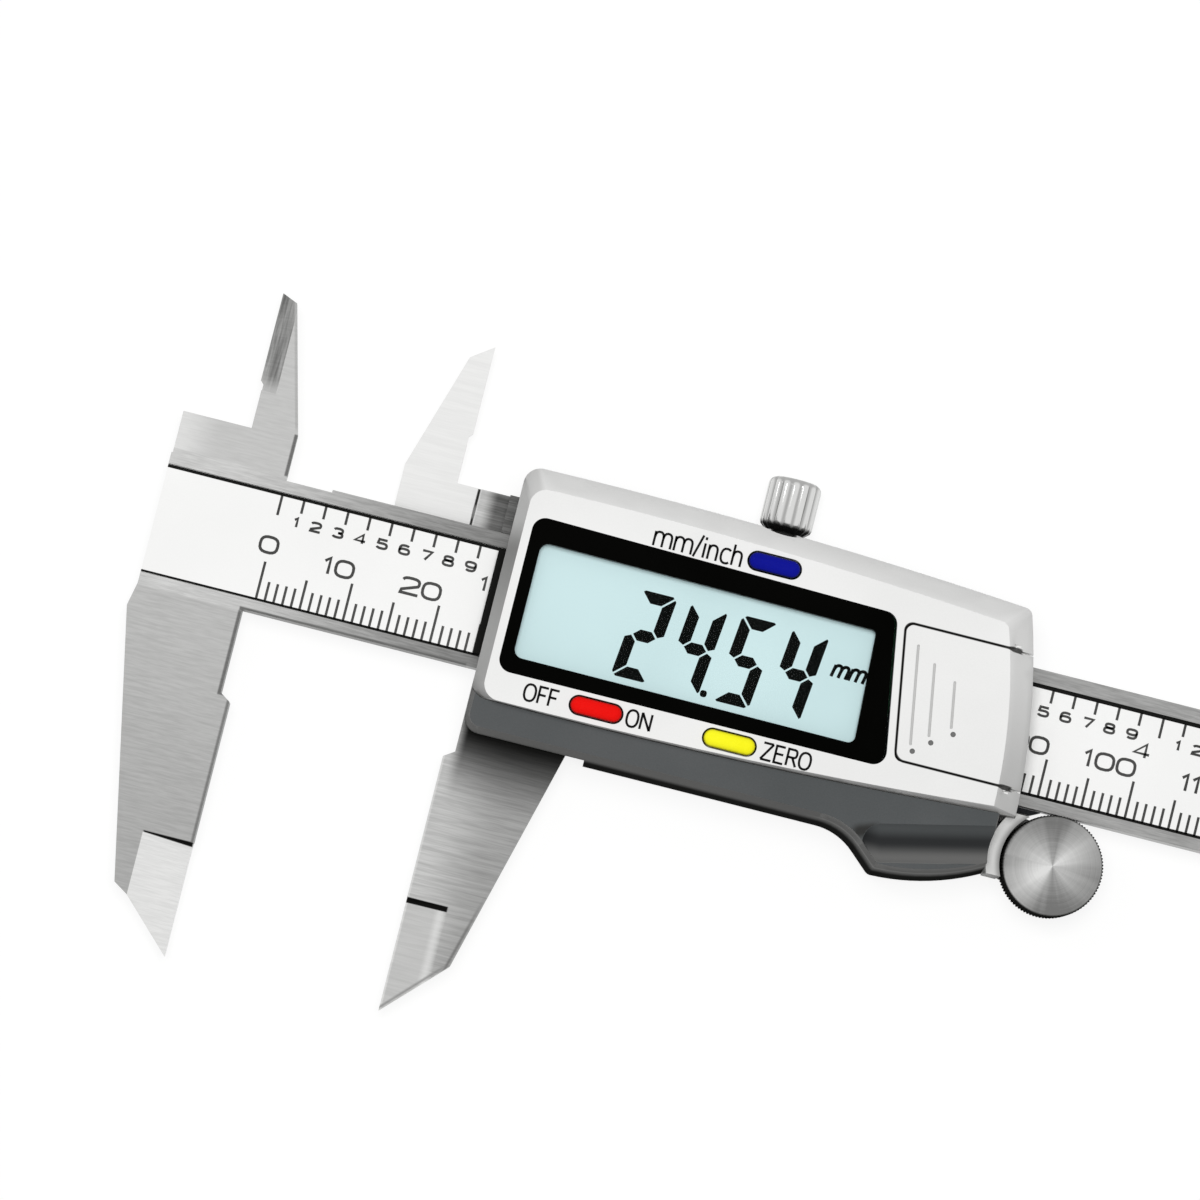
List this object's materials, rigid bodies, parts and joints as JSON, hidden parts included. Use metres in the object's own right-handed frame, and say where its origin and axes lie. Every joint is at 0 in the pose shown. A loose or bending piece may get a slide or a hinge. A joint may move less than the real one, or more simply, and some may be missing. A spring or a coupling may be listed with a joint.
{
  "type": "digital caliper",
  "caption": "Digital caliper: hardened beam with outside and inside jaws, depth rod, sliding display head with buttons, lock screw and thumb roller.",
  "frame": {"origin": "back face of the beam, under the zero line of the scale and half way across the beam; the mount beam_slide marks it", "axes": "+X along the beam to its free end, +Y to the inside jaws, +Z out of the display"},
  "size_m": [0.2622, 0.0753, 0.0136],
  "materials": {
    "satin_steel": "brushed, hardened",
    "polished_steel": "bright turned or plated",
    "black_steel": "blued",
    "brass": "plain",
    "white_film": "printed film",
    "silver_plastic": "silver lacquer, satin",
    "grey_plastic": "satin, dark grey",
    "black_plastic": "plain",
    "clear_window": "clear acrylic with a black printed border",
    "lcd_glass": "liquid crystal cell, pale cyan",
    "rubber": "plain",
    "board": "circuit board",
    "blue_plastic": "gloss",
    "red_plastic": "gloss",
    "yellow_plastic": "gloss"
  },
  "bodies": {
    "beam": {"beam": "satin_steel", "scale_board": "board", "scale_label": "white_film", "end_stop": "satin_steel", "end_stop_screws": "polished_steel"},
    "slider": {"slider_frame": "satin_steel", "back_plate": "satin_steel", "back_plate_screws": "polished_steel", "gib_screws": "polished_steel", "depth_rod": "satin_steel", "depth_rod_screw": "polished_steel", "front_cover": "silver_plastic", "lower_body": "grey_plastic", "case_screws": "polished_steel", "lower_body_screws": "polished_steel", "display_window": "clear_window", "lcd_panel": "lcd_glass", "lcd_holder": "black_plastic", "lcd_connector": "rubber", "circuit_board": "board", "sensor_board": "board", "chip": "black_plastic", "button_switches": "black_plastic", "battery": "polished_steel", "battery_contacts": "brass", "beam_wiper": "rubber", "roller_bracket": "silver_plastic", "bracket_screws": "polished_steel", "roller_axle": "polished_steel", "roller_spring": "black_steel"},
    "thumb_roller": {"thumb_roller": "polished_steel"},
    "gib": {"gib_strip": "brass"},
    "lock_screw": {"lock_screw": "polished_steel"},
    "unit_button": {"unit_button": "blue_plastic"},
    "power_button": {"power_button": "red_plastic"},
    "zero_button": {"zero_button": "yellow_plastic"},
    "battery_cover": {"battery_cover": "silver_plastic"}
  },
  "joints": [
    {"name": "slider_slide", "type": "slide", "parent": "beam", "child": "slider", "axis": [1, 0, 0], "range_m": [-0.02454, 0.12746]},
    {"name": "roller_turn", "type": "hinge", "parent": "slider", "child": "thumb_roller", "pos_m": [0.09329, -0.01346, 0], "axis": [0, 0, 1], "range_deg": [-250, 1285]},
    {"name": "gib_press", "type": "slide", "parent": "slider", "child": "gib", "axis": [0, -1, 0], "range_m": [-0.00025, 0.0000415]},
    {"name": "lock_turn", "type": "hinge", "parent": "gib", "child": "lock_screw", "pos_m": [0.05541, 0, 0.0019], "axis": [0, -1, 0], "range_deg": [-185, 35]},
    {"name": "unit_button_press", "type": "slide", "parent": "slider", "child": "unit_button", "axis": [0, 0, -1], "range_m": [0, 0.0005], "stiffness_N_per_m": 800, "springref_m": -0.0005},
    {"name": "power_button_press", "type": "slide", "parent": "slider", "child": "power_button", "axis": [0, 0, -1], "range_m": [0, 0.0005], "stiffness_N_per_m": 800, "springref_m": -0.0005},
    {"name": "zero_button_press", "type": "slide", "parent": "slider", "child": "zero_button", "axis": [0, 0, -1], "range_m": [0, 0.0005], "stiffness_N_per_m": 800, "springref_m": -0.0005},
    {"name": "battery_cover_slide", "type": "slide", "parent": "slider", "child": "battery_cover", "axis": [1, 0, 0], "range_m": [0, 0.0145]}
  ],
  "couplings": [
    {"joint": "roller_turn", "follows": "slider_slide", "rad_per_m": 175.44},
    {"joint": "lock_turn", "follows": "gib_press", "rad_per_m": 12566}
  ]
}
